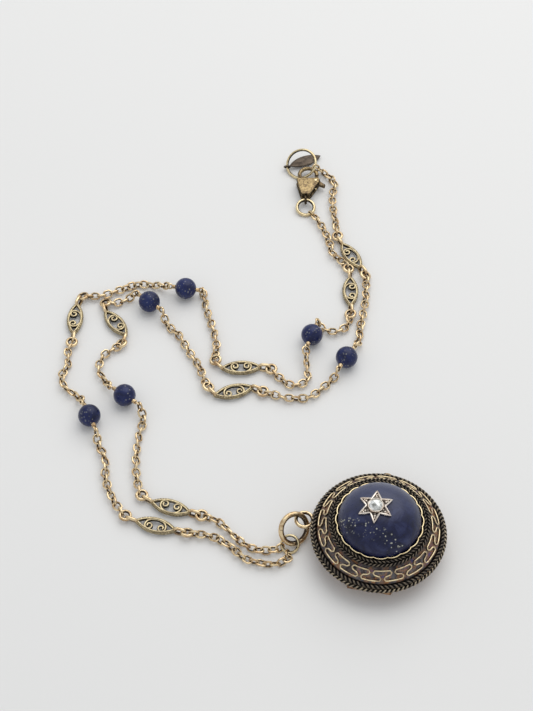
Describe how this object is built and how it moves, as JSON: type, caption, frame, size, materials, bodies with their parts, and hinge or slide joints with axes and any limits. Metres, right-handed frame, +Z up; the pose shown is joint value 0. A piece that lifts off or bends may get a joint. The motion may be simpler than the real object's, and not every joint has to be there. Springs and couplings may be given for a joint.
{
  "type": "locket necklace",
  "caption": "Round hinged locket with a lapis dome and rope border, hung on a chain of cable links, filigree links and lapis beads with a trigger clasp.",
  "frame": {"origin": "centre of the flat on the locket's back, on the surface that the locket and its chain lie on", "axes": "+Z up out of the lapis dome; the bail is on the -X side and the chain lies away in +Y; the cover's hinge is on the -Y side"},
  "size_m": [0.0844, 0.1272, 0.0165],
  "materials": {
    "gold": "worn antique gold, satin",
    "oxidised_gold": "oxidised gold, dark in the recesses and rubbed bright on the high points",
    "pale_gold": "pale gold, polished by wear",
    "lapis": "polished lapis with pyrite flecks",
    "crystal": "clear, polished",
    "rose_cut_stone": "faceted, clear grey-white, mirror bright facets",
    "picture_card": "plain matt card, blank"
  },
  "bodies": {
    "locket_back": {"back_shell": "gold", "back_rim": "gold", "back_knuckle_left": "gold", "back_knuckle_right": "gold", "hinge_pin": "oxidised_gold", "back_picture": "picture_card", "back_glass": "crystal", "back_picture_frame": "pale_gold", "bail_loop": "gold", "pendant_ring": "gold", "strand_ring": "pale_gold", "chain_run_a1": "gold", "chain_run_a2": "gold", "chain_run_a3": "gold", "chain_run_a4": "gold", "chain_run_a5": "gold", "chain_run_b1": "gold", "chain_run_b2": "gold", "chain_run_b3": "gold", "chain_run_b4": "gold", "chain_run_b5": "gold", "filigree_link_1": "oxidised_gold", "filigree_link_2": "oxidised_gold", "filigree_link_3": "oxidised_gold", "filigree_link_4": "oxidised_gold", "filigree_link_5": "oxidised_gold", "filigree_link_6": "oxidised_gold", "filigree_link_7": "oxidised_gold", "filigree_link_8": "oxidised_gold", "clasp_body": "oxidised_gold", "clasp_pivot_pin": "pale_gold", "clasp_ring": "pale_gold", "end_ring": "pale_gold", "clasp_spring": "pale_gold", "blank_tag": "oxidised_gold"},
    "cover": {"cover_knuckle": "gold", "cover_rim": "gold", "front_shell": "oxidised_gold", "front_picture_frame": "pale_gold", "front_glass": "crystal", "front_picture": "picture_card", "border_rope_outer": "oxidised_gold", "border_rope_inner": "oxidised_gold", "bezel_rope_outer": "oxidised_gold", "bezel_rope_inner": "oxidised_gold", "key_pattern_wire": "pale_gold", "scalloped_bezel": "pale_gold", "lapis_dome": "lapis", "star_mount": "pale_gold", "star_stone": "rose_cut_stone", "thumb_lip": "gold"},
    "clasp_trigger": {"clasp_lever": "gold"},
    "bead_1": {"lapis_bead_1": "lapis"},
    "bead_2": {"lapis_bead_2": "lapis"},
    "bead_3": {"lapis_bead_3": "lapis"},
    "bead_4": {"lapis_bead_4": "lapis"},
    "bead_5": {"lapis_bead_5": "lapis"},
    "bead_6": {"lapis_bead_6": "lapis"}
  },
  "joints": [
    {"name": "cover_hinge", "type": "hinge", "parent": "locket_back", "child": "cover", "pos_m": [-0.00235, -0.01279, 0.0035], "axis": [0.9836, -0.1805, 0], "range_deg": [0, 130]},
    {"name": "clasp_lever_pivot", "type": "hinge", "parent": "locket_back", "child": "clasp_trigger", "pos_m": [-0.011, 0.1021, 0.0015], "axis": [0, 0, 1], "range_deg": [0, 18], "stiffness_Nm_per_rad": 0.002},
    {"name": "bead_1_spin", "type": "hinge", "parent": "locket_back", "child": "bead_1", "pos_m": [-0.0424, 0.0673, 0.0025], "axis": [0.9848, -0.1736, 0], "continuous": true},
    {"name": "bead_2_spin", "type": "hinge", "parent": "locket_back", "child": "bead_2", "pos_m": [-0.0508, 0.0633, 0.0025], "axis": [0.766, -0.6428, 0], "continuous": true},
    {"name": "bead_3_spin", "type": "hinge", "parent": "locket_back", "child": "bead_3", "pos_m": [-0.0551, 0.0364, 0.0025], "axis": [-0.7986, 0.6018, 0], "continuous": true},
    {"name": "bead_4_spin", "type": "hinge", "parent": "locket_back", "child": "bead_4", "pos_m": [-0.0626, 0.0309, 0.0025], "axis": [-0.4067, 0.9135, 0], "continuous": true},
    {"name": "bead_5_spin", "type": "hinge", "parent": "locket_back", "child": "bead_5", "pos_m": [-0.0128, 0.0535, 0.0025], "axis": [0.342, 0.9397, 0], "continuous": true},
    {"name": "bead_6_spin", "type": "hinge", "parent": "locket_back", "child": "bead_6", "pos_m": [-0.005, 0.047, 0.0025], "axis": [0.5299, 0.848, 0], "continuous": true}
  ]
}
